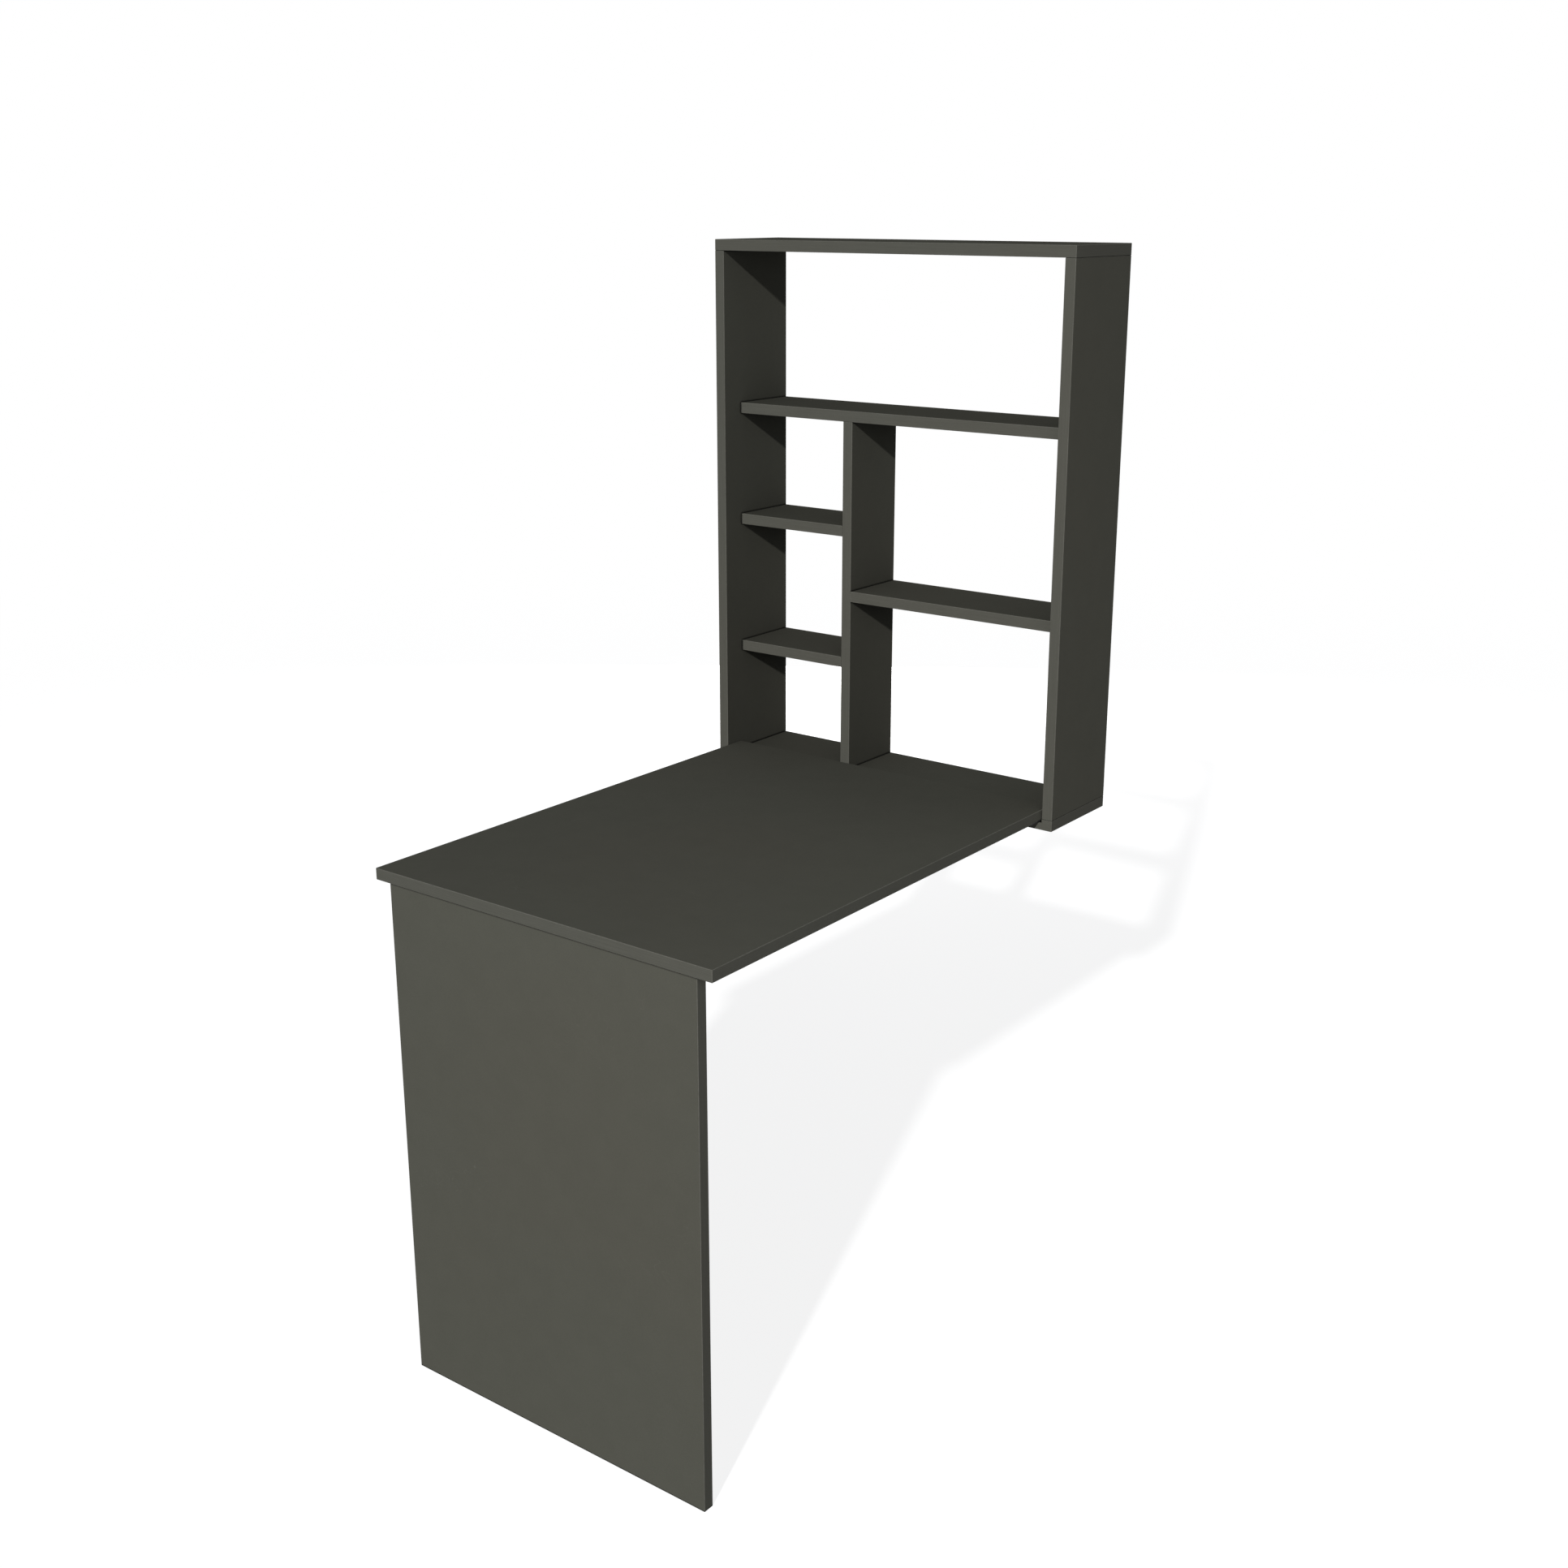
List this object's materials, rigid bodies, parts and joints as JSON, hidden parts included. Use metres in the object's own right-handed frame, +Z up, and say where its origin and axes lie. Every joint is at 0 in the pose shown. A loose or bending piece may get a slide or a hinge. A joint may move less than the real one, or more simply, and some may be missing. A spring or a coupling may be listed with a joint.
{
  "type": "fold down wall desk",
  "caption": "Open wall cabinet with shelves, and a desk board that folds down from it and stands on a hinged panel leg.",
  "frame": {"origin": "middle of the four keyholes, on the plane where the cabinet's back meets the wall", "axes": "+X to the right of someone facing the wall, +Y into the wall, +Z up"},
  "size_m": [0.6, 0.8787, 1.499],
  "materials": {
    "board": "matt warm dark grey melamine facing on particle board",
    "edging": "matt plastic edging strip in the boards' colour",
    "beech": "fluted beech",
    "zinc_cam": "die cast zinc",
    "zinc_steel": "zinc plated",
    "bright_steel": "bright drawn",
    "black_steel": "black lacquer",
    "nylon": "natural nylon",
    "rubber_pad": "matt black"
  },
  "bodies": {
    "cabinet": {"top_board": "board", "bottom_board": "board", "left_side": "board", "right_side": "board", "upper_shelf": "board", "divider": "board", "left_upper_shelf": "board", "left_lower_shelf": "board", "right_shelf": "board", "top_board_edging": "edging", "bottom_board_edging": "edging", "left_side_edging": "edging", "right_side_edging": "edging", "upper_shelf_edging": "edging", "divider_edging": "edging", "left_upper_shelf_edging": "edging", "left_lower_shelf_edging": "edging", "right_shelf_edging": "edging", "wood_dowels": "beech", "cam_locks": "zinc_cam", "cam_bolts": "zinc_steel", "confirmat_screws": "zinc_steel", "keyhole_plates": "zinc_steel", "keyhole_screws": "zinc_steel", "left_cabinet_pivot": "black_steel", "right_cabinet_pivot": "black_steel", "pivot_pins": "bright_steel", "pivot_washers": "nylon", "pivot_foot_bolts": "zinc_steel", "desk_rest_pads": "rubber_pad", "bolt_keepers": "black_steel", "keeper_screws": "zinc_steel"},
    "desk": {"desk_board": "board", "desk_board_edging": "edging", "left_desk_pivot": "black_steel", "right_desk_pivot": "black_steel", "desk_pivot_screws": "zinc_steel", "leg_hinge_desk_leaves": "zinc_steel", "leg_hinge_pins": "bright_steel", "desk_leaf_screws": "zinc_steel", "left_bolt_case": "black_steel", "right_bolt_case": "black_steel", "bolt_case_screws": "zinc_steel"},
    "leg": {"leg_board": "board", "leg_board_edging": "edging", "leg_hinge_leg_leaves": "zinc_steel", "leg_leaf_screws": "zinc_steel"},
    "left_bolt": {"left_bolt_bar": "bright_steel", "left_bolt_knob": "black_steel"},
    "right_bolt": {"right_bolt_bar": "bright_steel", "right_bolt_knob": "black_steel"}
  },
  "joints": [
    {"name": "desk_fold", "type": "hinge", "parent": "cabinet", "child": "desk", "pos_m": [0, -0.126, -0.381], "axis": [-1, 0, 0], "range_deg": [0, 90]},
    {"name": "leg_fold", "type": "hinge", "parent": "desk", "child": "leg", "pos_m": [0, -0.8585, -0.3878], "axis": [1, 0, 0], "range_deg": [0, 90]},
    {"name": "left_bolt_slide", "type": "slide", "parent": "desk", "child": "left_bolt", "axis": [0, -1, 0], "range_m": [0, 0.0278]},
    {"name": "right_bolt_slide", "type": "slide", "parent": "desk", "child": "right_bolt", "axis": [0, -1, 0], "range_m": [0, 0.0278]}
  ],
  "couplings": [
    {"joint": "leg_fold", "follows": "desk_fold", "ratio": 1}
  ]
}
